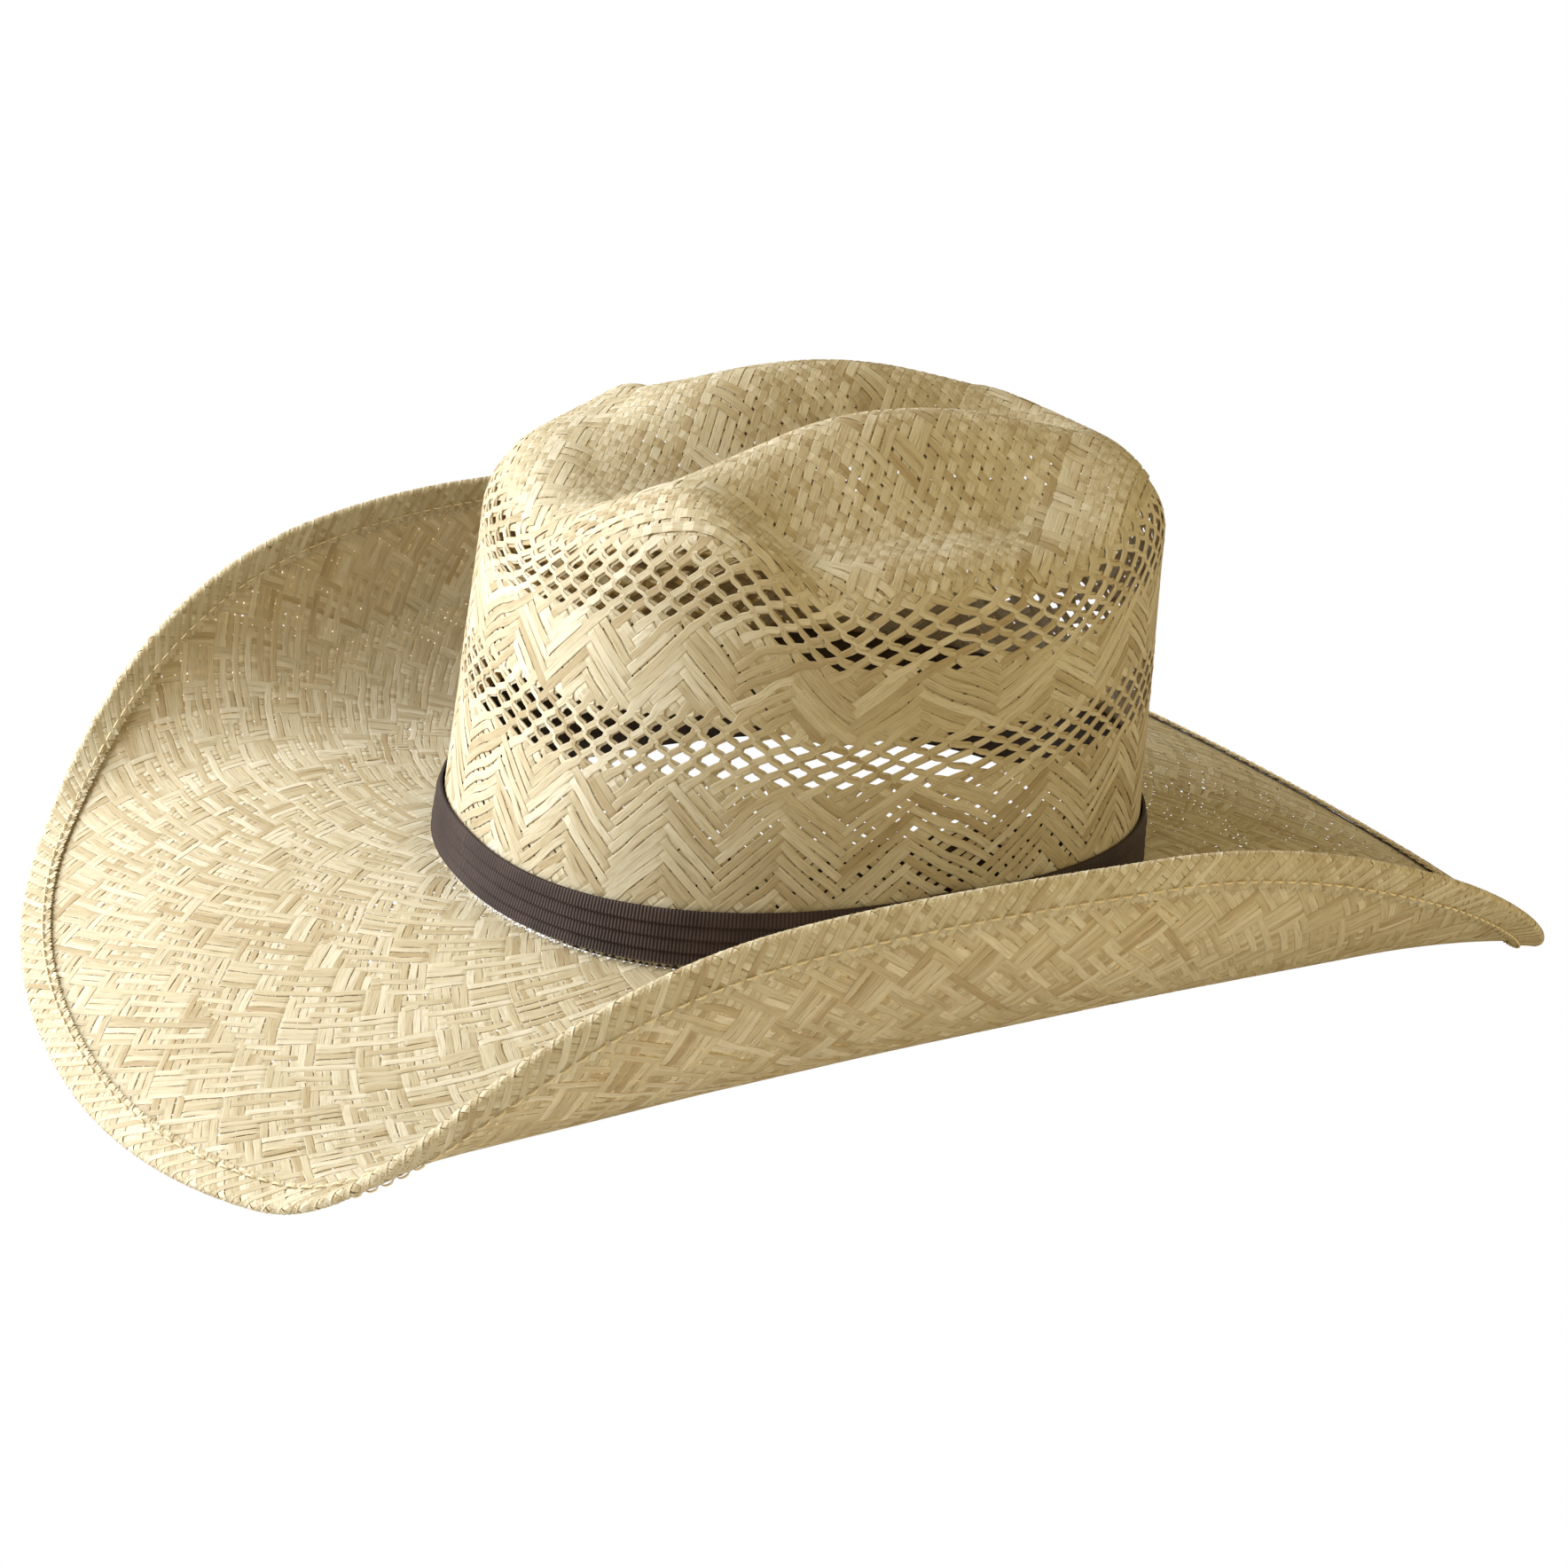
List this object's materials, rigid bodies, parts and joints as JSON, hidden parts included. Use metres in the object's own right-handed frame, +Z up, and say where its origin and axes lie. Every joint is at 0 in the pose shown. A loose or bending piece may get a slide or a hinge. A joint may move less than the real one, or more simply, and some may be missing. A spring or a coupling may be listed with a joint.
{
  "type": "straw western hat",
  "caption": "Woven straw hat with a creased, ventilated crown, a wide brim rolled up at the sides and a pleated ribbon hatband.",
  "frame": {"origin": "centre of the head opening, at the bend between crown and brim, in the middle of the straw", "axes": "+Z up through the crown, -Y towards the front of the hat, +X towards the wearer's left"},
  "size_m": [0.3313, 0.4333, 0.1655],
  "materials": {
    "straw": "matt woven straw",
    "straw_edge": "matt folded straw",
    "spring_steel": "plain drawn wire",
    "straw_thread": "matt thread",
    "brown_ribbon": "ribbed ribbon, low sheen",
    "sweat_leather": "smooth, low sheen",
    "clear_reed": "translucent",
    "lining_tape": "fine weave",
    "lining_thread": "matt thread"
  },
  "bodies": {
    "root": {"straw_body": "straw", "edge_strip": "straw_edge", "brim_wire": "spring_steel", "wire_ferrule": "spring_steel", "hem_stitching": "straw_thread", "hatband": "brown_ribbon", "band_keeper": "brown_ribbon", "sweatband": "sweat_leather", "sweatband_reed": "clear_reed", "reed_tape": "lining_tape", "sweatband_stitching": "lining_thread"}
  },
  "joints": []
}
